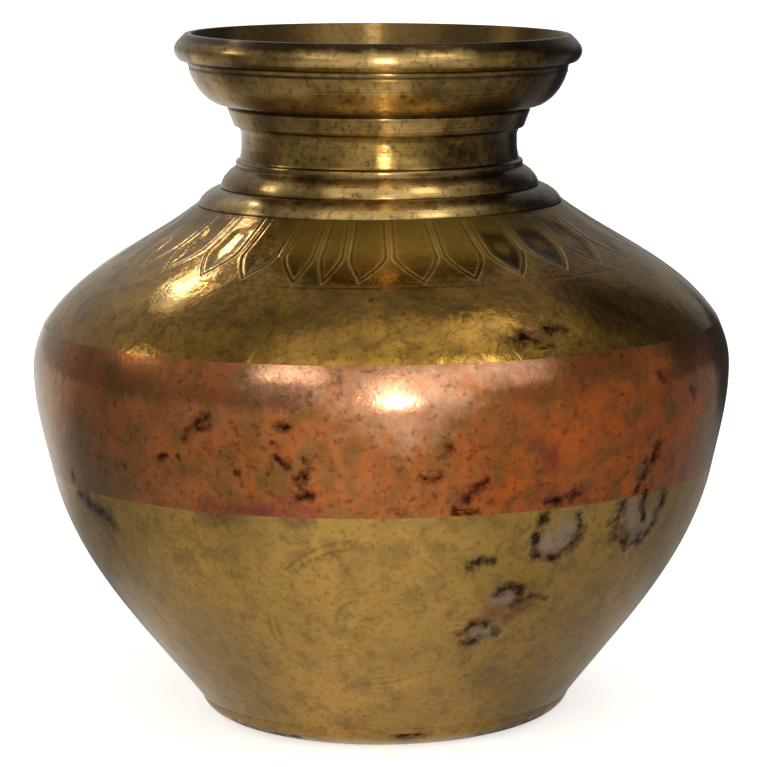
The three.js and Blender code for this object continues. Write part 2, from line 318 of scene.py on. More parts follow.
def as_made(spots):
    """Moves places in millimetres as beating and use have: a little out of round, with soft hollows from
    the hammer below the neck, and the neck set not quite level."""
    x, y, z = np.moveaxis(spots, -1, 0)
    angle = np.arctan2(x, -y)
    off_floor = smooth(z, 0, 50)
    beaten = off_floor * (1 - smooth(z, 150, 162))
    out_of_round = off_floor * (
        oval_by * (1 + np.cos(2 * angle - 0.7)) + three_sided_by * (1 + np.cos(3 * angle + 1.3)))
    hammered = beaten * sum(depth * lumps(spots, width) for depth, width in hammer_hollows)
    radius = np.hypot(x, y)
    share = 1 - (out_of_round * radius / widest_radius + hammered) / np.maximum(radius, 1)
    tilt = neck_tilt * smooth(z, neck_foot_height, neck_foot_height + 26)
    return np.stack([x * share, y * share, z - x * tilt], axis=-1)


unmarked = -3.0  # a mark's value far from all its strokes
crease_angle = math.radians(35)


def turn(name, outside, inside, around, relief=None, marks=None, seam=0.0):
    """Turns an outside and an inside path about the pot's axis into one closed piece.
    relief pushes the outside outwards in millimetres and marks are values for the material: both are given
    at each angle and length along the outside. seam leaves a gap that wide at the back."""
    poles = outside[0, 0] == 0
    outline = np.concatenate([outside, inside[::-1]])
    half_seam = seam / 2 / outside[:, 0].max()
    if seam:
        angles = np.linspace(-math.pi + half_seam, math.pi - half_seam, around)
    else:
        angles = np.arange(around) * 2 * np.pi / around
    radius = np.repeat(outline[:, 0][:, None], around, axis=1)
    height = np.repeat(outline[:, 1][:, None], around, axis=1)
    grid = np.meshgrid(lengths(outside), angles, indexing="ij")
    if relief is not None:
        push = relief(grid[1], grid[0])
        out = -inward(outside)
        radius[:len(outside)] += push * out[:, :1]
        height[:len(outside)] += push * out[:, 1:]
    spots = as_made(np.stack([radius * np.sin(angles), -radius * np.cos(angles), height], axis=-1))
    rows = len(outline)
    row = np.arange(rows - 1 if poles else rows)[:, None]
    col = np.arange(around - 1 if seam else around)[None, :]
    after_row, after_col = (row + 1) % rows, (col + 1) % around
    corners = [row * around + col, row * around + after_col,
               after_row * around + after_col, after_row * around + col]
    faces = np.stack(corners, axis=-1).reshape(-1, 4).tolist()
    if poles:
        for pole_row, flip in ((0, 1), (rows - 1, -1)):
            ring = [pole_row * around + i for i in range(around)]
            faces.append(ring[::-flip])
    if seam:
        for edge, flip in ((0, 1), (around - 1, -1)):
            for i in range(len(outside) - 1):
                cut_end = [corner * around + edge for corner in (i, i + 1, rows - 2 - i, rows - 1 - i)]
                faces.append(cut_end[::flip])
    mesh = bpy.data.meshes.new(name)
    mesh.from_pydata((spots.reshape(-1, 3) / 1000).tolist(), [], faces)
    values = {"inside": np.concatenate([np.zeros(len(outside)), np.ones(len(inside))])[:, None] + 0 * angles}
    for mark_name in ("soot_and_shadow", "stain", "solder"):
        values[mark_name] = np.full((rows, around), unmarked)
    for mark_name, mark in (marks or {}).items():
        values.setdefault(mark_name, np.zeros((rows, around)))
        values[mark_name][:len(outside)] = mark(grid[1], grid[0])
    for value_name, value in values.items():
        layer = mesh.attributes.new(value_name, "FLOAT", "POINT")
        layer.data.foreach_set("value", value.ravel().astype(np.float32))
    mesh.shade_smooth()
    mesh.set_sharp_from_angle(angle=crease_angle)
    piece = bpy.data.objects.new(name, mesh)
    bpy.context.collection.objects.link(piece)
    return piece


def marked_mask(tree, name, noise, ragged, edge, softness):
    """Where a mark lies, from the piece's own values, with an edge made ragged by noise."""
    value = add_node(tree, "ShaderNodeAttribute", attribute_name=name).outputs["Fac"]
    shaken = add_node(tree, "ShaderNodeMath", {0: noise, 1: ragged, 2: value}, operation="MULTIPLY_ADD")
    centre = edge + 0.5 * ragged
    return add_node(tree, "ShaderNodeMapRange", {
        "Value": shaken, "From Min": centre - softness, "From Max": centre + softness})


def tinted(tree, mask, under, over):
    """One colour laid over another where the mask is white. Colours are hex values or nodes."""
    parts = {"Factor": mask}
    for slot_name, colour in (("A", under), ("B", over)):
        parts[slot_name] = linear(colour) if isinstance(colour, str) else colour
    return add_node(tree, "ShaderNodeMix", parts, data_type="RGBA")


def rubbed_metal(tree, colour, roughness, bumps, drawn_out, film, film_roughness):
    """Finishes a metal that cloths have rubbed round and round the pot, so that its lights are drawn out up
    and down. Bumps are a height, a strength and a depth in millimetres, and film is the old oil on it."""
    under = {}
    for height, strength, depth_mm in bumps:
        under = {"Normal": add_node(tree, "ShaderNodeBump", {
            "Height": height, "Strength": strength, "Distance": depth_mm / 1000, **under})}
    round_pot = add_node(tree, "ShaderNodeTangent", direction_type="RADIAL", axis="Z")
    surface = add_node(tree, "ShaderNodeBsdfPrincipled", {
        "Base Color": colour, "Metallic": 1.0, "Roughness": roughness, **under,
        "Anisotropic": drawn_out, "Anisotropic Rotation": 0.25, "Tangent": round_pot,
        "Coat Weight": film, "Coat Roughness": film_roughness})
    add_node(tree, "ShaderNodeOutputMaterial", {"Surface": surface})


# Brass sheet, beaten, scraped and wiped for years: a soft mirror, golden where it is rubbed, with a painted
# highlight on one petal, olive and brown where it has dulled, nearly black where dirt lies in the chased
# lines, with dirt and painted shade under the collar, and grey where solder took. Soot marks it dark brown,
# and painted shadow darkens the foot's edge.
# Wiping draws its lights out up and down, and an old film of oil adds a pale sheen where it is clean.
# The shoulder is tarnished darker than the bowl.
brass_finishes = {}
for finish, bright, dull, patch, fleck, soot_and_shadow, smoothest, oiled in (
        ("wiped brass", "#b69046", "#9e7f40", "#886c38", "#755a30", "#3a281a", 0.10, 0.35),
        ("tarnished brass", "#a87f2f", "#826125", "#5e471b", "#4b3212", "#180e07", 0.06, 0.22)):
    brass_finishes[finish], brass = new_finish(finish)
    brass_place = add_node(brass, "ShaderNodeTexCoord").outputs["Object"]
    brass_noise, brass_mask = {}, {}
    for name, size_mm, detail, roughness, distortion in (
            ("clouds", 34, 5.0, 0.6, 0.0),
            ("patches", 7, 6.0, 0.62, 0.4),
            ("marks", 3.2, 4.0, 0.7, 0.0),
            ("flecks", 1.8, 3.0, 0.6, 0.0),
            ("curls", 11, 1.5, 0.5, 1.2)):
        brass_noise[name] = add_node(brass, "ShaderNodeTexNoise", {
            "Vector": brass_place, "Scale": 1000 / size_mm, "Detail": detail, "Roughness": roughness,
            "Distortion": distortion})
    for name, noise, start, full, most in (
            ("dull", "clouds", 0.4, 0.66, 1.0),
            ("patch", "patches", 0.46, 0.64, 0.7),
            ("dirt", "flecks", 0.52, 0.7, 0.6),
            ("curls left", "patches", 0.4, 0.6, 1.0)):
        brass_mask[name] = add_node(brass, "ShaderNodeMapRange", {
            "Value": brass_noise[noise], "From Min": start, "From Max": full, "To Max": most})
    for name, ragged, edge, softness in (
            ("soot_and_shadow", 5.5, 0.2, 0.9), ("stain", 3.0, 0.7, 1.3), ("solder", 4.0, 0.1, 1.2)):
        brass_mask[name] = marked_mask(brass, name, brass_noise["marks"], ragged, edge, softness)
    for name in ("dirt_and_shade", "worn", "unwiped", "inside"):
        brass_mask[name] = add_node(brass, "ShaderNodeAttribute", attribute_name=name).outputs["Fac"]
    # Faint curls, all that is left of shallow engraving: thin lines where a noise crosses its middle.
    curl_side = add_node(brass, "ShaderNodeMath", {0: brass_noise["curls"], 1: 0.5}, operation="SUBTRACT")
    off_curl = add_node(brass, "ShaderNodeMath", {0: curl_side}, operation="ABSOLUTE")
    curl_line = add_node(brass, "ShaderNodeMapRange", {
        "Value": off_curl, "From Min": 0.004, "From Max": 0.016, "To Min": 0.32, "To Max": 0.0})
    for name, whole, share in (
            ("curl", curl_line, brass_mask["curls left"]), ("olive", brass_mask["unwiped"], 0.6)):
        brass_mask[name] = add_node(brass, "ShaderNodeMath", {0: whole, 1: share}, operation="MULTIPLY")
    solder_grey = tinted(brass, brass_mask["patch"], "#a49384", "#6c5d50")
    brass_colour = bright
    # Among these, the pale gold paints a highlight on one petal, and the darkest colours paint shade and
    # shadow.
    for name, colour in (
            ("dull", dull), ("patch", patch), ("dirt", fleck), ("curl", "#4c3616"), ("olive", "#85722f"),
            ("worn", "#c7a565"), ("dirt_and_shade", "#33240e"), ("stain", "#6a4030"), ("solder", solder_grey),
            ("soot_and_shadow", soot_and_shadow), ("inside", "#6b5630")):
        brass_colour = tinted(brass, brass_mask[name], brass_colour, colour)
    brass_rough = add_node(brass, "ShaderNodeMapRange", {
        "Value": brass_noise["patches"], "From Min": 0.35, "From Max": 0.7,
        "To Min": smoothest, "To Max": smoothest + 0.12})
    for name, rougher in (("soot_and_shadow", 0.28), ("solder", 0.28), ("inside", 0.28), ("unwiped", 0.34)):
        brass_rough = add_node(brass, "ShaderNodeMath", {
            0: brass_mask[name], 1: rougher, 2: brass_rough}, operation="MULTIPLY_ADD")
    unoiled = brass_mask["soot_and_shadow"]
    for name in ("solder", "dirt_and_shade"):
        unoiled = add_node(brass, "ShaderNodeMath", {0: unoiled, 1: brass_mask[name]}, operation="MAXIMUM")
    brass_film = add_node(brass, "ShaderNodeMapRange", {"Value": unoiled, "To Min": oiled, "To Max": 0.0})
    rubbed_metal(
        brass, brass_colour, brass_rough,
        ((brass_noise["flecks"], 0.35, 0.1), (brass_noise["patches"], 0.5, 0.4)), 0.45, brass_film, 0.12)

foot_curve = curve((base_radius, 0), (foot_radius, foot_height), 17, 77)
foot_run = lengths(foot_curve)[-1]
base_line = np.linspace((0, 0), (base_radius - 0.6, 0), 18)
cap_outside = np.concatenate([base_line, stretch(foot_curve, 0, foot_run - step_length - joint_gap, 0.45)])


def ridden(piece, node, material):
    """Gives a piece its material, and stands it for its CAD node on the pot's one body."""
    piece.data.materials.append(material)
    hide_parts(node)
    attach(piece, "root")


def wrapped(angle, centre):
    """How far an angle lies round from another, from minus half a turn to half a turn."""
    return (angle - centre + np.pi) % (2 * np.pi) - np.pi


def stroke_marks(outside, strokes):
    """A mark for turn(): 1 on the middle of each stroke, 0 at its half width and below past it.
    A stroke is a half width in millimetres and its bends, each in degrees round and millimetres up."""
    def mark(angle, along):
        radius = radius_at(outside, along)
        best = np.full(angle.shape, unmarked)
        for half_width, bends in strokes:
            for (turn_a, up_a), (turn_b, up_b) in zip(bends, bends[1:] or bends):
                ax = wrapped(np.radians(turn_a), angle) * radius
                ay = length_at(outside, up_a) - along
                bx = ax + wrapped(np.radians(turn_b), np.radians(turn_a)) * radius
                by = length_at(outside, up_b) - along
                run = np.maximum((bx - ax) ** 2 + (by - ay) ** 2, 1e-6)
                t = np.clip(-(ax * (bx - ax) + ay * (by - ay)) / run, 0, 1)
                far = np.hypot(ax + t * (bx - ax), ay + t * (by - ay))
                best = np.maximum(best, 1 - far / half_width)
        return best

    return mark


# Soot on the foot's edge, and painted shadow where it turns under, left and right of the front.
foot_soot_and_shadow = (
    (2.6, ((5.0, 5.4), (10.0, 5.8))),
    (1.7, ((-56, 3.2), (-44, 2.2), (-30, 2.6))),
    (1.9, ((31, 2.2), (44, 2.4), (58, 3.4))),
    (1.5, ((120, 3.0), (150, 2.4))))
foot_cap = turn(
    "foot_cap_dressed", cap_outside, cap_outside + inward(cap_outside) * sheet_gauge, around=480,
    marks={"soot_and_shadow": stroke_marks(cap_outside, foot_soot_and_shadow)})
ridden(foot_cap, "foot_cap", brass_finishes["wiped brass"])

# Lower bowl: raised from one disc of brass with the hammer, then planished and scraped smooth. A worn
# roundel is engraved on each side, and solder has run and scorched it below the copper.
lower_seam_radius, lower_seam_height = 104.3, 81.0
bowl_curve = curve((foot_radius, foot_height), (lower_seam_radius, lower_seam_height), 52, 78, points=120)
belly_radius, belly_height = 109.4, 112.0
belly_curve = curve((lower_seam_radius, lower_seam_height), (belly_radius, belly_height), 77, 90, points=80)


def lapped(under_start, middle, under_end):
    """A sheet's outside path, with the ends that run under its neighbours stepped in. Either end may be
    None, where nothing lies over it."""
    step_in = sheet_gauge + joint_gap
    start, end = [
        np.zeros((0, 2)) if run is None else run + inward(run) * step_in for run in (under_start, under_end)]
    return np.concatenate([start, middle, end])


bowl_foot = stretch(foot_curve, foot_run - lap_length, foot_run - step_length, 0.6)
bowl_top = stretch(belly_curve, step_length, lap_length, 0.6)
bowl_outside = lapped(bowl_foot, all_of(bowl_curve, 0.8), bowl_top)

# Strokes on the bowl: solder that ran down from the copper's seam, the scorching round it, and red stains.
bowl_solder = (
    (3.6, ((28.2, 70), (30.5, 69.5), (32.6, 74))),
    (4.4, ((45.5, 78), (48.0, 73), (49.0, 69))),
    (1.8, ((52.5, 77), (51.5, 71))),
    (2.6, ((18.8, 41.5), (20.4, 42.5))),
    (2.4, ((21.5, 54.5), (23.0, 53.5))),
    (1.2, ((15.8, 67.6),)))
bowl_soot = (
    (1.7, ((27.4, 80), (26.4, 76), (25.9, 70), (26.8, 66.4), (30.6, 65.2), (33.2, 68.6), (35.2, 73.4))),
    (1.2, ((33.8, 78), (34.4, 75))),
    (1.8, ((43.2, 79), (42.0, 74), (43.2, 69.0), (47, 65.4), (51, 66.2), (53.2, 71), (54.2, 79))),
    (1.2, ((48.8, 82), (48.4, 77), (49.6, 73))),
    (1.9, ((16.0, 43.2), (17.8, 45.4), (20.4, 45.0))),
    (2.0, ((16.8, 38.8), (18.6, 39.8))),
    (1.4, ((22.4, 41.4), (21.6, 44.0))),
    (1.5, ((20.6, 55.2), (22.3, 57.4), (24.6, 56.4), (25.8, 53), (24, 50.8))),
    (1.0, ((26.4, 53), (28.8, 53), (31.2, 51.8))),
    (1.6, ((14.6, 66.0), (16.4, 66.6), (18.4, 66.2))),
    (2.4, ((-62.5, 79), (-56.6, 76), (-53.5, 72.5))))
bowl_stain = (
    (3.2, ((-30, 79.6), (-24.5, 80.5))),
    (5.5, ((18.0, 42), (20.5, 49), (23.5, 54))),
    (3.0, ((24, 46), (28, 51))),
    (4.5, ((-60, 77), (-54, 73))),
    (2.6, ((-15, 81), (-12, 80))))

bowl_solder_mark = stroke_marks(bowl_outside, bowl_solder)
solder_height = 0.2
roundel_height, roundel_radius, roundel_rim, roundel_heart = 48.0, 29.0, 2.6, 8.0
roundels_around = 4
roundel_first = math.radians(-4)
engraved_depth = 0.05
engraving_dirt = 0.4


def bowl_relief(angle, along):
    """Worn engraving on the bowl: roundels of two rings, with an eight-petalled flower and its heart."""
    pitch = 2 * np.pi / roundels_around
    beside = ((angle - roundel_first + pitch / 2) % pitch - pitch / 2) * radius_at(bowl_outside, along)
    above = along - length_at(bowl_outside, roundel_height)
    out = np.hypot(beside, above)
    swing = np.arctan2(above, beside)
    ring_radii = (roundel_radius, roundel_radius - roundel_rim, roundel_heart)
    rings = sum(np.exp(-((out - ring) / 0.5) ** 2) for ring in ring_radii)
    petal_edge = roundel_heart + 15 * np.abs(np.cos(4 * swing)) ** 0.7
    flower = np.exp(-((out - petal_edge) / 0.6) ** 2) * (out > roundel_heart - 1)
    places = np.stack([beside + 60, above + 60, 0 * above], axis=-1)
    wear = smooth(lumps(places, 9), 0.35, 0.75)
    solder = np.clip(bowl_solder_mark(angle, along) * 2, 0, 1) * solder_height
    return solder - engraved_depth * wear * (rings + flower)


def bowl_recess(angle, along):
    """Dirt left in the worn engraving."""
    return np.clip(-bowl_relief(angle, along) / engraved_depth, 0, 1) * engraving_dirt


lower_bowl = turn(
    "lower_bowl_dressed", bowl_outside, bowl_outside + inward(bowl_outside) * sheet_gauge, around=960,
    relief=bowl_relief,
    marks={"dirt_and_shade": bowl_recess, "solder": bowl_solder_mark, "soot_and_shadow": stroke_marks(bowl_outside, bowl_soot),
           "stain": stroke_marks(bowl_outside, bowl_stain)})
ridden(lower_bowl, "lower_bowl", brass_finishes["wiped brass"])

# Copper band: one strip of copper, bent into a ring and beaten out to the belly. It has lost its shine
# unevenly: orange and brown, with pits and scorched spots. Pale pink is painted on it as highlights where the
# lamps shine, and greyish brown at its sides as painted reflections.
top_step_length = 2.7
closing_seam = 1.6
upper_seam_radius, upper_seam_height = 105.8, 125.8
crown_curve = curve((belly_radius, belly_height), (upper_seam_radius, upper_seam_height), 90, 114)
shoulder_top_radius, shoulder_height = 57.5, 162.3
shoulder_curve = curve(
    (upper_seam_radius, upper_seam_height), (shoulder_top_radius, shoulder_height), 124, 143, points=120)
band_low = stretch(belly_curve, step_length + joint_gap, lengths(belly_curve)[-1], 0.75)
band_top = stretch(shoulder_curve, top_step_length, top_step_length + lap_length, 0.6)
band_outside = lapped(None, np.concatenate([band_low, all_of(crown_curve, 0.75)[1:]]), band_top)

# Strokes on the copper: scorched spots, then painted pale highlights where the lamps shine, bared bright
# orange, painted greyish-brown reflections at the sides, and stained red along its seams.
band_soot = (
    (1.3, ((-31.9, 103.4), (-30.4, 106.8), (-27.6, 110.4))),
    (1.1, ((-29.6, 106.6), (-27.4, 107.4))),
    (1.4, ((-16.2, 108.1), (-14.6, 108.1))),
    (0.8, ((-17.0, 103.6),)),
    (1.3, ((-16.6, 98.8), (-14.8, 96.6))),
    (1.4, ((-11.8, 98.6), (-11.6, 95.4), (-12.6, 92.2))),
    (1.2, ((-12.2, 95.2), (-13.6, 92.8), (-13.0, 89.6))),
    (1.3, ((-13.2, 87.2), (-11.6, 88.0))),
    (1.1, ((-37.8, 96.2), (-36.2, 97.2))),
    (0.8, ((-33.6, 97.6),)),
    (0.8, ((-45.5, 91.9),)),
    (1.0, ((-23.1, 94.1),)),
    (0.7, ((-18.0, 94.0),)),
    (1.5, ((10.2, 102.4),)),
    (1.2, ((5.8, 94.0), (7.6, 92.0), (9.0, 93.4))),
    (1.4, ((13.0, 85.6), (14.6, 88.6), (16.0, 91.0))),
    (1.2, ((11.4, 81.6), (15.0, 82.0))),
    (1.4, ((49.6, 116.8), (50.4, 115.4))),
    (1.2, ((58.4, 110.4), (59.2, 108.6))),
    (2.2, ((49.6, 94.6), (48.6, 91.8))),
    (1.5, ((47.8, 88.6), (47.2, 86.4))),
    (1.6, ((46.6, 84.2), (46.2, 82.6))),
    (1.1, ((27.0, 83.2), (33, 84.6))),
    (1.6, ((-63.5, 84),)))
# Painted highlights: pale pink strokes where the key light and the front windows shine on the copper.
band_painted_highlight = (
    (10, ((-2, 119), (8, 118))),
    (4.5, ((8, 123.5), (26, 124))),
    (7, ((1, 113), (4, 108))),
    (7, ((-18, 122.5), (-11, 122.5))))
band_bared = (
    (24, ((28, 100), (62, 100))),
    (12, ((20, 88), (50, 116))),
    (14, ((150, 100), (185, 96))),
    (11, ((-140, 96), (-118, 108))))
# Painted reflections: greyish brown at the band's sides, left and right of the front, where it mirrors pale
# walls.
band_painted_reflection = (
    (25, ((-74, 84), (-76, 120))),
    (14, ((-52, 84), (-64, 96))),
    (16, ((77, 84), (72, 97))))
band_stain = (
    (3.4, ((-14.5, 85.0), (-11, 82.6))),
    (2.6, ((-30, 82.6), (-16, 82.0))),
    (3.2, ((25, 101), (27.5, 95))),
    (2.2, ((11.5, 85), (15, 90))),
    (2.6, ((26, 84.4), (34, 85.2))))
band_strokes = {
    "soot_and_shadow": band_soot, "stain": band_stain, "painted_highlight": band_painted_highlight, "bared": band_bared, "painted_reflection": band_painted_reflection}
band_marks = {name: stroke_marks(band_outside, strokes) for name, strokes in band_strokes.items()}
pit_depth = 0.09


def band_relief(angle, along):
    """Scorched spots are shallow pits in the copper."""
    return -pit_depth * np.clip(band_marks["soot_and_shadow"](angle, along) * 1.5, 0, 1)


copper_band = turn(
    "copper_band_dressed", band_outside, band_outside + inward(band_outside) * sheet_gauge, around=961,
    relief=band_relief, marks=band_marks, seam=closing_seam)

# Copper sheet, beaten and wiped: a warmer, softer mirror than the brass, with a duller film. It goes
# from a painted pale pink highlight, through orange, to brown and olive, with fine red-brown pits and painted
# greyish-brown reflections at the sides.
sheet_copper, copper = new_finish("beaten copper sheet")
copper_place = add_node(copper, "ShaderNodeTexCoord").outputs["Object"]
copper_noise, copper_mask = {}, {}
for name, size_mm, detail, roughness, distortion in (
        ("clouds", 30, 4.0, 0.6, 0.0),
        ("patches", 6, 6.0, 0.65, 0.5),
        ("flecks", 2.2, 3.0, 0.55, 0.0),
        ("marks", 3.2, 4.0, 0.7, 0.0),
        ("spots", 7, 3.0, 0.55, 0.0)):
    copper_noise[name] = add_node(copper, "ShaderNodeTexNoise", {
        "Vector": copper_place, "Scale": 1000 / size_mm, "Detail": detail, "Roughness": roughness,
        "Distortion": distortion})
copper_noise["pits"] = add_node(copper, "ShaderNodeMath", {
    0: copper_noise["clouds"], 1: 0.3, 2: copper_noise["flecks"]}, operation="MULTIPLY_ADD")
for name, noise, start, full, most in (
        ("tone", "clouds", 0.4, 0.62, 1.0),
        ("patch", "patches", 0.42, 0.68, 0.8),
        ("pits", "pits", 0.7, 0.86, 0.6),
        ("orange", "spots", 0.5, 0.7, 0.45),
        ("olive", "spots", 0.52, 0.34, 0.7)):
    copper_mask[name] = add_node(copper, "ShaderNodeMapRange", {
        "Value": copper_noise[noise], "From Min": start, "From Max": full, "To Max": most})
for name, noise, ragged, edge, softness in (
        ("soot_and_shadow", "marks", 5.5, 0.2, 1.0),
        ("stain", "marks", 3.0, 0.7, 1.3),
        ("painted_highlight", "marks", 3.0, 0.5, 1.0),
        ("bared", "marks", 2.4, 0.4, 0.9),
        ("painted_reflection", "patches", 1.6, 0.35, 0.7)):
    copper_mask[name] = marked_mask(copper, name, copper_noise[noise], ragged, edge, softness)
copper_mask["inside"] = add_node(copper, "ShaderNodeAttribute", attribute_name="inside").outputs["Fac"]
copper_colour = "#ac6f42"
# Among these, the pale pink is a painted highlight and the greyish brown a painted reflection.
for name, colour in (
        ("tone", "#a96630"), ("bared", "#cf641a"), ("patch", "#905528"), ("olive", "#7e5c28"),
        ("orange", "#d06a26"), ("painted_highlight", "#d0a080"), ("painted_reflection", "#84643f"), ("pits", "#5f2110"),
        ("stain", "#7a3030"), ("soot_and_shadow", "#36150a"), ("inside", "#5a3a22")):
    copper_colour = tinted(copper, copper_mask[name], copper_colour, colour)
copper_smooth = add_node(copper, "ShaderNodeMapRange", {
    "Value": copper_noise["patches"], "From Min": 0.35, "From Max": 0.7, "To Min": 0.11, "To Max": 0.24})
copper_rough = add_node(copper, "ShaderNodeMath", {
    0: copper_mask["soot_and_shadow"], 1: 0.35, 2: copper_smooth}, operation="MULTIPLY_ADD")
copper_film = add_node(copper, "ShaderNodeMapRange", {
    "Value": copper_mask["soot_and_shadow"], "To Min": 0.3, "To Max": 0.0})
rubbed_metal(
    copper, copper_colour, copper_rough,
    ((copper_noise["flecks"], 0.35, 0.1), (copper_noise["patches"], 0.35, 0.3)), 0.5, copper_film, 0.26)
ridden(copper_band, "copper_band", sheet_copper)

# Shoulder dome: brass, pressed from one disc and flattened on top as a seat. A frieze of long pointed
# petals is chased round the collar, each with its field dished, and a worn scroll runs below them.
hole_radius = 42.65
dome_start = top_step_length + joint_gap
dome_run = lengths(shoulder_curve)[-1]
frieze_length = 33.0
dome_outside = np.concatenate([
    stretch(shoulder_curve, dome_start, dome_run - frieze_length, 0.8),
    stretch(shoulder_curve, dome_run - frieze_length, dome_run, 0.4)[1:],
    np.linspace((shoulder_top_radius - 0.8, shoulder_height), (hole_radius, shoulder_height), 10)])
petal_length, petal_straight, petal_gap = 28.2, 17.0, 2.7
line_half_width = 0.3
# The front's petals, each with its middle in degrees round and how hard it was struck. The chaser spaced
# them by eye, and the ones behind more evenly.
front_middles, front_depths = zip(
    (-71.7, 0.8), (-62.5, 0.8), (-53.3, 0.9), (-40.8, 1.5), (-30.0, 0.8), (-18.3, 0.7), (-12.0, 0.3),
    (-4.3, 0.2), (8.9, 0.3), (20.0, 0.5), (30.9, 1.3), (43.2, 1.5), (55.4, 0.8))
plain_petals = 18
chaser = np.random.default_rng(5)
plain_pitch = (360 + front_middles[0] - front_middles[-1]) / (plain_petals + 1)
petal_middles = np.radians(list(front_middles) + [
    front_middles[-1] + plain_pitch * (i + 1 + chaser.uniform(-0.1, 0.1)) for i in range(plain_petals)])
petal_borders = (petal_middles + np.append(petal_middles[1:], petal_middles[0] + 2 * np.pi)) / 2
petal_depths = np.concatenate([front_depths, chaser.uniform(0.4, 1.25, plain_petals)])
petal_lengths = petal_length + chaser.uniform(-0.7, 0.7, len(petal_middles))


def petals(angle, along):
    """For each place on the dome: how far it lies inside its petal's edge, how far down the petal it is,
    how hard that petal was struck, and the dome's radius there."""
    down = dome_run - dome_start - along
    radius = radius_at(dome_outside, along)
    from_first = (angle - petal_borders[0]) % (2 * np.pi) + petal_borders[0]
    which = np.searchsorted(petal_borders, from_first) % len(petal_middles)
    width_left = wrapped(petal_middles[which], petal_borders[which - 1]) * radius - petal_gap / 2
    width_right = wrapped(petal_borders[which], petal_middles[which]) * radius - petal_gap / 2
    beside = wrapped(angle, petal_middles[which]) * radius
    width = np.where(beside < 0, width_left, width_right)
    tip = np.clip((down - petal_straight) / (petal_lengths[which] - petal_straight), 0, None)
    taper = 1 - tip ** 1.25
    slant = 0.82  # square to a tip's slanting edge is less far than straight across to it
    edge = (width * taper - np.abs(beside)) * np.where(tip > 0, slant, 1)
    return SimpleNamespace(edge=edge, down=down, struck=petal_depths[which], radius=radius)


def chasing(angle, along):
    """How much there is of each thing that the chaser's tools left, from 0 to 1: the petals' lines, the burr
    outside and the lip inside them, the dished fields and the rings. It says where each place is too."""
    petal = petals(angle, along)
    edge, down = petal.edge, petal.down
    in_frieze = smooth(down, 0.3, 1.2) * (0.45 + 0.55 * smooth(down, 5, 18))
    wobble = 0.75 + 0.5 * lumps(np.stack([angle * 60, along, 0 * along], axis=-1), 3)
    return SimpleNamespace(
        line=np.exp(-(edge / line_half_width) ** 2) * in_frieze * wobble,
        burr=np.exp(-((edge + 0.75) / 0.35) ** 2) * in_frieze,
        lip=np.exp(-((edge - 0.7) / 0.3) ** 2) * in_frieze,
        dish=smooth(edge, 0.9, 4.2) * smooth(down, 4, 9) * petal.struck,
        ring=np.exp(-((down - 31.4) / 0.4) ** 2) + 0.6 * np.exp(-((down - 1.0) / 0.35) ** 2),
        down=down, radius=petal.radius)


scroll_middle, scroll_swing, scroll_waves = 44.0, 4.2, 18
curl_pitch, curl_reach = 2.6, 5.2


def scroll(angle, down, radius):
    """A worn running scroll: a waving stem with a curl in each bend."""
    stem = scroll_middle + scroll_swing * np.sin(scroll_waves * angle)
    slope = scroll_swing * scroll_waves * np.cos(scroll_waves * angle) / radius
    line = np.exp(-((down - stem) / np.sqrt(1 + slope ** 2) / 0.45) ** 2)
    bend = np.pi / scroll_waves
    nearest = np.round((angle - bend / 2) / bend) * bend + bend / 2
    side = np.where(np.round((angle - bend / 2) / bend) % 2 == 0, -1, 1)
    beside = (angle - nearest) * radius
    above = down - (scroll_middle + side * 1.6)
    out = np.hypot(beside, above)
    swing = np.arctan2(above * side, beside)
    curl = np.abs((out - curl_pitch * swing / (2 * np.pi) + curl_pitch / 2) % curl_pitch - curl_pitch / 2)
    return line + np.exp(-(curl / 0.4) ** 2) * (out < curl_reach)


line_depth, dish_depth, ring_depth, scroll_depth = 0.13, 0.2, 0.035, 0.05
burr_height, lip_height = 0.05, 0.04


def dome_lumps(angle, down, part, size):
    """Lumps of wear or dirt over the dome. Each use takes its own part of the noise."""
    return lumps(np.stack([angle * 80, down, 0 * down + part], axis=-1), size)


def dome_relief(angle, along):
    """Chased lines and dished fields, and the scroll almost rubbed away."""
    left = chasing(angle, along)
    wear = smooth(dome_lumps(angle, left.down, 30, 11), 0.3, 0.7)
    worn_scroll = scroll(angle, left.down, left.radius) * wear
    return (-line_depth * left.line + burr_height * left.burr + lip_height * left.lip
            - dish_depth * left.dish - ring_depth * left.ring - scroll_depth * worn_scroll)


darker_starts, darker_ends = (0.4, 0.55), (1.0, 1.3)  # radians round from the front, to the right


def petal_field_darkening(angle, along):
    """Darkening in the petals' fields: dirt towards the tips of them all, and darker over the whole of those
    to the right of the front, but for a spot in the middle left bright as a painted glint."""
    petal = petals(angle, along)
    field = smooth(petal.edge, 0.4, 1.8) * smooth(petal.down, 5, 10) * petal.struck / max(front_depths)
    darker_side = smooth(wrapped(angle, 0), *darker_starts) * (1 - smooth(wrapped(angle, 0), *darker_ends))
    # Painted glint: a spot in the middle of each field is left undarkened.
    painted_glint = smooth(petal.edge, 3.0, 4.6) * np.exp(-((petal.down - 15) / 3) ** 2)
    dirty_tip = smooth(petal.down, 14, 24) * dome_lumps(angle, petal.down, 50, 6)
    return field * (1 - painted_glint) * (0.75 * darker_side + 0.45 * dirty_tip)


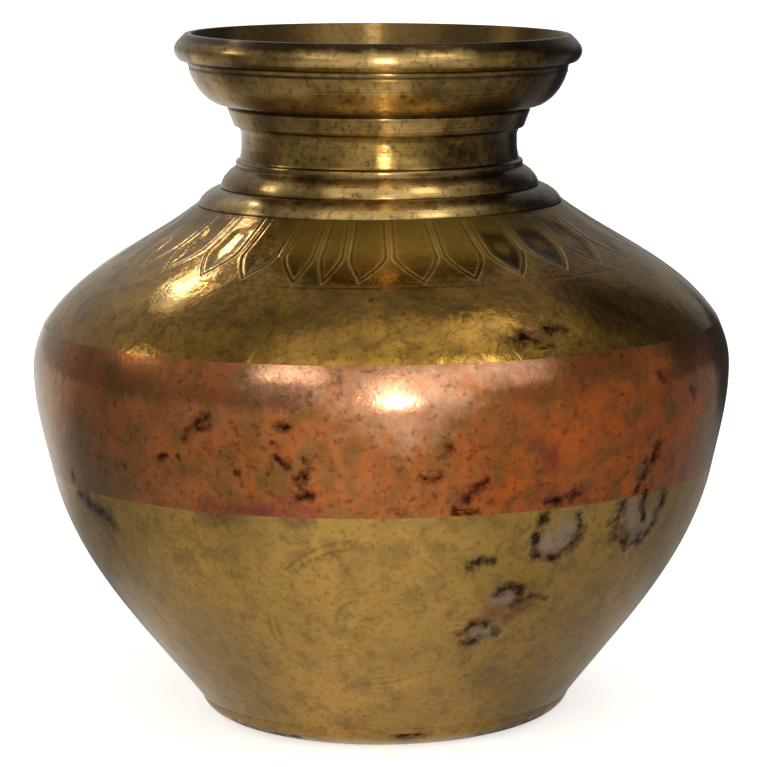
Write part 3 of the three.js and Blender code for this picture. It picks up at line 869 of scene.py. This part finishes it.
def dome_dirt_and_shade(angle, along):
    """Dirt that wiping has left in the lines and fields, and dirt with painted shade close under the collar.
    """
    left = chasing(angle, along)
    patchy = 0.55 + 0.5 * dome_lumps(angle, left.down, 70, 5)
    # Painted shade with dirt, close under the collar.
    collar_dirt_and_shade = (1 - smooth(left.down, 2, 15)) * (0.5 + 0.5 * dome_lumps(angle, left.down, 70, 9))
    return np.clip(0.5 * left.line * patchy + 0.15 * left.ring + 0.5 * collar_dirt_and_shade + 0.1 * left.dish
                   + petal_field_darkening(angle, along) + 0.14 * scroll(angle, left.down, left.radius), 0, 1)


# Strokes on the dome: a painted highlight over one petal's field and a spot below it, scorching by the
# copper, stains in it, and dull metal under the collar.
dome_painted_highlight_mark = stroke_marks(dome_outside, (
    (5, ((-41, 156), (-41, 150))),
    (7, ((-46, 143), (-43, 141)))))
dome_soot = (
    (2.9, ((22.2, 130.6), (24.2, 131.6), (25.6, 130.4))),
    (2.4, ((25.2, 130.2), (27.0, 128.2))),
    (1.9, ((28.5, 133.7), (32.0, 133.0))),
    (1.1, ((46, 137), (47, 135))),
    (0.8, ((-2, 142.5),)))
dome_stain = (
    (2.6, ((24, 132.4), (27, 131.6))),
    (2.2, ((44, 139), (50, 133))))
dome_unwiped_mark = stroke_marks(dome_outside, (
    (27, ((-14, 160), (30, 160))),
    (20, ((100, 158), (140, 160))),
    (20, ((-150, 160), (-115, 158)))))


def dome_wear_and_highlight(angle, along):
    """Shine on the raised edges of the lines, and a painted highlight over one petal's field and a spot below
    it.
    """
    left = chasing(angle, along)
    handled = np.clip(dome_painted_highlight_mark(angle, along), 0, 0.8)
    return np.clip(0.75 * left.burr + 0.35 * left.lip + handled, 0, 1) * (1 - left.line)


def dome_unwiped(angle, along):
    """Dull places up under the collar, where a cloth doesn't reach."""
    return smooth(dome_unwiped_mark(angle, along), 0, 0.75)


shoulder_dome = turn(
    "shoulder_dome_dressed", dome_outside, dome_outside + inward(dome_outside) * sheet_gauge, around=1440,
    relief=dome_relief,
    marks={"unwiped": dome_unwiped, "dirt_and_shade": dome_dirt_and_shade, "worn": dome_wear_and_highlight,
           "soot_and_shadow": stroke_marks(dome_outside, dome_soot), "stain": stroke_marks(dome_outside, dome_stain)})
ridden(shoulder_dome, "shoulder_dome", brass_finishes["tarnished brass"])

# Collar ring and neck: cast brass, turned on a lathe, so fine tool lines run round them. The neck's
# spigot goes down through the collar and the dome, and its flange is peened over inside.
spigot_radius = 42.5
collar_radius, collar_top_radius, collar_top_height = 57.1, 50.5, 167.6
turned_spacing = 0.3


def soften(path, spacing=turned_spacing, passes=2):
    """Evenly spaced points of a path with its corners eased, as polishing leaves them."""
    eased = all_of(path, spacing)
    for _ in range(passes):
        eased[1:-1] = (eased[:-2] + 2 * eased[1:-1] + eased[2:]) / 4
    return eased


collar_face = curve((collar_radius, shoulder_height), (collar_top_radius, collar_top_height), 112, 165)
collar_outside = soften(np.concatenate([
    [(hole_radius + 9, shoulder_height)], collar_face, [(hole_radius, collar_top_height)]]))
collar_inside = np.array([(hole_radius + 6, shoulder_height), (hole_radius, shoulder_height + 0.01)])

# Cast brass, turned: browner and rougher than the sheet, with fine lines round it where the tool ran.
# It is black on its right side, and painted shade blackens the top of its lip. Its grooves are dark with dirt
# and painted shade. It is pale where hands have worn it, and pale strokes paint its highlights at the front.
# Real tool lines are about 0.3 mm apart, too fine to show, so they are drawn 0.7 mm apart.
cast_brass, cast = new_finish("turned cast brass")
cast_place = add_node(cast, "ShaderNodeTexCoord").outputs["Object"]
cast_up = add_node(cast, "ShaderNodeSeparateXYZ", {0: cast_place}).outputs["Z"]
cast_flat = add_node(cast, "ShaderNodeVectorMath", {0: cast_place, 1: (1, 1, 0)}, operation="MULTIPLY")
cast_radius = add_node(cast, "ShaderNodeVectorMath", {0: cast_flat}, operation="LENGTH")
cast_section = add_node(cast, "ShaderNodeCombineXYZ", {"X": cast_radius, "Y": cast_up})
cast_noise, cast_mask = {}, {}
for name, size_mm, detail, roughness, place, dimensions in (
        ("tool lines", 0.7, 2.0, 0.6, cast_section, "2D"),
        ("clouds", 22, 5.0, 0.62, cast_place, "3D"),
        ("patches", 5, 6.0, 0.65, cast_place, "3D"),
        ("flecks", 2, 4.0, 0.62, cast_place, "3D")):
    cast_noise[name] = add_node(cast, "ShaderNodeTexNoise", {
        "Vector": place, "Scale": 1000 / size_mm, "Detail": detail, "Roughness": roughness},
        noise_dimensions=dimensions)
for name, noise, start, full, most in (
        ("dull", "clouds", 0.38, 0.62, 1.0),
        ("patch", "patches", 0.44, 0.62, 0.75),
        ("red", "patches", 0.62, 0.74, 0.45),
        ("dirt", "flecks", 0.52, 0.68, 0.65),
        ("dirty lines", "tool lines", 0.5, 0.75, 0.5)):
    cast_mask[name] = add_node(cast, "ShaderNodeMapRange", {
        "Value": cast_noise[noise], "From Min": start, "From Max": full, "To Max": most})
for name, noise, ragged, edge, softness in (
        ("darkened", "flecks", 3.0, 0.2, 1.0), ("worn", "patches", 1.6, 0.45, 0.9)):
    cast_mask[name] = marked_mask(cast, name, cast_noise[noise], ragged, edge, softness)
for name in ("dirt_and_shade", "inside"):
    cast_mask[name] = add_node(cast, "ShaderNodeAttribute", attribute_name=name).outputs["Fac"]
cast_mask["unpolished"] = add_node(cast, "ShaderNodeMapRange", {"Value": cast_mask["inside"], "To Max": 0.75})
cast_colour = "#a08040"
# Among these, the pale gold is partly a painted highlight, and the near black partly painted shade.
for name, colour in (
        ("dull", "#7d6430"), ("patch", "#5c4a26"), ("red", "#8a4a28"), ("dirty lines", "#5a4320"),
        ("darkened", "#3a2a14"), ("dirt_and_shade", "#1e1408"), ("worn", "#cfae70"), ("dirt", "#3d2a12"),
        ("unpolished", "#5a4620")):
    cast_colour = tinted(cast, cast_mask[name], cast_colour, colour)
cast_rough = add_node(cast, "ShaderNodeMapRange", {
    "Value": cast_noise["patches"], "From Min": 0.35, "From Max": 0.7, "To Min": 0.19, "To Max": 0.3})
for name, rougher in (("dirt_and_shade", 0.3), ("inside", 0.08)):
    cast_rough = add_node(cast, "ShaderNodeMath", {
        0: cast_mask[name], 1: rougher, 2: cast_rough}, operation="MULTIPLY_ADD")
cast_film = add_node(cast, "ShaderNodeMapRange", {
    "Value": cast_mask["darkened"], "To Min": 0.3, "To Max": 0.04})
rubbed_metal(
    cast, cast_colour, cast_rough,
    ((cast_noise["tool lines"], 0.5, 0.1), (cast_noise["patches"], 0.3, 0.2)), 0.9, cast_film, 0.12)

black_starts, black_ends = (0.5, 1.0), (2.0, 2.6)  # radians round from the front, to the right


def black_side(angle, along):
    """A mark for turn(): 1 on the castings' black side, to the right of the front, and down to -1 off it."""
    return 2 * smooth(wrapped(angle, 0), *black_starts) * (1 - smooth(wrapped(angle, 0), *black_ends)) - 1


def black_mouth(angle, along):
    """The same for the neck, with a black place on its shaft, and painted shade that blackens the top of
    its lip all round.
    """
    height = height_at(neck_outside, along)
    # Painted shade: the lip's top, where it turns inwards, is blackened all round, from a little higher on
    # the left.
    black_from = 211.2 + 0.9 * smooth(-wrapped(angle, 0), 0.4, 0.9)
    black_top = 2.4 * smooth(height, black_from, black_from + 1.6) - 1
    return np.maximum(black_side(angle, along), np.maximum(black_top, shaft_black(angle, along)))


def polished_and_highlit(outside, strokes):
    """A mark for turn(): where hands have polished the castings pale and pale strokes paint their highlights,
    away from the black side.
    """
    stroke_mark = stroke_marks(outside, strokes)

    def mark(angle, along):
        height = height_at(outside, along)
        places = np.stack([angle * 50, 0 * angle, height], axis=-1)
        uneven = 0.8 * (lumps(places, 7) - 0.5)
        return stroke_mark(angle, along) + uneven - 3 * np.clip(black_side(angle, along), 0, 1)

    return mark


def dirt_and_shade_at(outside, heights, reach):
    """A mark for turn(): dirt and painted shade in the turned quirks, under the lip and at the collar's foot,
    given by their heights.
    """
    def mark(angle, along):
        height = height_at(outside, along)
        dirt = sum(np.exp(-((height - low) / reach) ** 2) for low in heights)
        places = np.stack([angle * 45, 0 * angle, height], axis=-1)
        return np.clip(dirt, 0, 1) * (0.6 + 0.4 * lumps(places, 6))

    return mark


# Strokes on the castings: where hands and cloths have kept the collar and the neck bright, and painted
# highlights where the lamps and windows shine on the lip, cup, bead and collar.
collar_polish_and_highlight = (
    (3.4, ((-62, 165.6), (-44, 165.6))),
    (6.0, ((-28, 165.6), (28, 165.6))),
    (2.6, ((100, 165.6), (130, 165.6))),
    (2.6, ((-150, 165.6), (-110, 165.6))))
collar_ring = turn(
    "collar_ring_dressed", collar_outside, collar_inside, around=600,
    marks={"dirt_and_shade": dirt_and_shade_at(collar_outside, (shoulder_height,), 0.5), "darkened": black_side,
           "worn": polished_and_highlit(collar_outside, collar_polish_and_highlight)})
ridden(collar_ring, "collar_ring", cast_brass)

bore_radius, neck_radius = 40.2, 43.1
flange_radius, flange_low, flange_high = 47.0, 159.1, 161.1
bead_radius, bead_top_height = 49.9, 174.8
fillet_low, fillet_high = 186.2, 191.7
cup_foot_height, cup_radius, cup_top_height = 193.1, 59.5, 207.4
lip_radius, lip_low, lip_swell_height, lip_top_height = 63.6, 206.6, 209.7, 214.8
lip_land_outer, mouth_radius = 60.1, 58.3
neck_outside = soften(np.concatenate([
    # The flange and the spigot, then the bead
    [(bore_radius + 3, flange_low), (flange_radius, flange_low), (flange_radius, flange_high),
     (spigot_radius, flange_high), (spigot_radius, collar_top_height)],
    curve((bead_radius, collar_top_height), (neck_radius + 2.1, bead_top_height - 1.2), 100, 152),
    # The ridge on the bead, the waist and the fillet band
    [(neck_radius + 1.5, bead_top_height - 0.7), (neck_radius + 1.9, bead_top_height - 0.3),
     (neck_radius + 1.7, bead_top_height + 0.9), (neck_radius + 0.6, bead_top_height + 1.1),
     (neck_radius, (bead_top_height + fillet_low) / 2 - 1), (neck_radius, fillet_low - 2.2),
     (neck_radius + 0.8, fillet_low - 0.2), (neck_radius + 2.2, fillet_low), (47.4, fillet_high),
     (46.6, fillet_high + 0.2), (46.4, cup_foot_height - 0.2), (50.7, cup_foot_height)],
    # The cup, the ridge round its top, and the rolled lip
    curve((50.9, cup_foot_height + 0.1), (cup_radius - 0.3, cup_top_height - 3.4), 25, 74),
    [(cup_radius - 0.5, cup_top_height - 2.9), (cup_radius - 0.1, cup_top_height - 2.4),
     (cup_radius, cup_top_height - 1.4), (cup_radius - 0.5, lip_low + 0.1), (61.6, lip_low - 0.1)],
    curve((61.9, lip_low), (lip_radius, lip_swell_height), 40, 90),
    curve((lip_radius, lip_swell_height), (lip_land_outer, lip_top_height), 90, 132)[1:],
    [(mouth_radius, lip_top_height)]]))
throat = curve((bore_radius, 188.7), (56.5, cup_top_height), 25, 82)[::-1]
neck_inside = np.concatenate([
    soften(np.concatenate([[(mouth_radius - 0.2, lip_top_height - 0.1)], throat]), 0.9),
    np.linspace((bore_radius, 187), (bore_radius, flange_low + 0.2), 12)])[::-1]
shaft_black = stroke_marks(neck_outside, ((5.5, ((31, 181), (40, 180))),))
neck_polish_and_highlight = (
    (3.4, ((-20, 209.4), (25, 209.4))),
    (2.0, ((-62, 208.8), (-46, 208.8))),
    (3.2, ((-150, 209.4), (-100, 209.4))),
    (3.2, ((130, 209.4), (170, 209.4))),
    (5.0, ((-4, 196), (6, 198))),
    (4.0, ((-24, 195.5), (30, 195.5))),
    (5.0, ((-55, 198), (-24, 198))),
    (6.0, ((-160, 198), (-110, 198))),
    (3.0, ((5, 188.5), (20, 188.5))),
    (6.0, ((-150, 180), (-120, 180))),
    (3.0, ((-44, 171.5), (-30, 171.5))),
    (4.5, ((-18, 171.5), (36, 171.5))),
    (2.8, ((-165, 171.5), (-110, 171.5))),
    (2.6, ((150, 171.5), (176, 171.5))))
quirk_heights = (
    collar_top_height, bead_top_height - 0.7, fillet_low - 0.1, 192.4, lip_low, cup_top_height - 2.9)
neck_casting = turn(
    "neck_casting_dressed", neck_outside, neck_inside, around=720,
    marks={"dirt_and_shade": dirt_and_shade_at(neck_outside, quirk_heights, 0.45), "darkened": black_mouth,
           "worn": polished_and_highlit(neck_outside, neck_polish_and_highlight)})
ridden(neck_casting, "neck_casting", cast_brass)

# Brazes: hard solder run into each stepped joint with the torch and scraped flush, and a fillet run
# round the flange inside. The flush rings have taken the colour of the sheets beside them, the lower
# seam's that of the copper. The seam at the back and the fillet are paler, rough and grainy as they ran.
run_braze, braze = new_finish("scraped braze")
braze_place = add_node(braze, "ShaderNodeTexCoord").outputs["Object"]
braze_grain = add_node(braze, "ShaderNodeTexNoise", {
    "Vector": braze_place, "Scale": 1000 / 2.4, "Detail": 4.0, "Roughness": 0.6})
braze_tone = add_node(braze, "ShaderNodeMapRange", {
    "Value": braze_grain, "From Min": 0.42, "From Max": 0.62})
braze_rough = add_node(braze, "ShaderNodeMapRange", {
    "Value": braze_grain, "From Min": 0.3, "From Max": 0.7, "To Min": 0.24, "To Max": 0.42})
braze_bump = add_node(braze, "ShaderNodeBump", {"Height": braze_grain, "Strength": 0.5, "Distance": 0.0003})
braze_surface = add_node(braze, "ShaderNodeBsdfPrincipled", {
    "Base Color": tinted(braze, braze_tone, "#9a7534", "#7c5d27"), "Metallic": 1.0, "Roughness": braze_rough,
    "Normal": braze_bump})
add_node(braze, "ShaderNodeOutputMaterial", {"Surface": braze_surface})


def seam_braze(name, path, tip, edge, material, marks=None):
    """The ring of braze in the wedge between a sheet's edge and the step of the sheet under it. It is as
    deep as the sheet at that edge, and runs out to nothing at its tip."""
    clear = math.copysign(joint_gap / 12, edge - tip)
    face = stretch(path, tip + clear, edge, 0.3)
    if edge > tip:
        wedge = face[0], face[-1] + inward(face)[-1] * sheet_gauge
    else:
        face = face[::-1]
        wedge = face[0] + inward(face)[0] * sheet_gauge, face[-1]
    piece = turn(name + "_dressed", face, np.linspace(*wedge, 4)[1:-1], around=480, marks=marks)
    ridden(piece, name, material)


body_path = np.concatenate([bowl_curve, belly_curve[1:], crown_curve[1:]])


def across_seam(strokes):
    """A mark for the lower seam's braze: strokes of the sheets beside it, carried on over it."""
    body_mark = stroke_marks(body_path, strokes)
    return lambda angle, along: body_mark(angle, along + lengths(bowl_curve)[-1])


to_the_edge = 0.9 * joint_gap
lower_seam_marks = {name: across_seam(strokes) for name, strokes in (
    band_strokes | {"soot_and_shadow": band_soot + bowl_soot, "stain": band_stain + bowl_stain}).items()}
for name, path, tip, edge, material, marks in (
        ("foot_braze", foot_curve, foot_run, foot_run - step_length - to_the_edge,
         brass_finishes["wiped brass"], None),
        ("lower_seam_braze", belly_curve, 0, step_length + to_the_edge, sheet_copper, lower_seam_marks),
        ("upper_seam_braze", shoulder_curve, 0, top_step_length + to_the_edge,
         brass_finishes["tarnished brass"], None)):
    seam_braze(name, path, tip, edge, material, marks)
for node_name in ("band_closing_braze", "neck_joint_braze"):
    for material_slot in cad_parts[node_name].material_slots:
        material_slot.material = run_braze
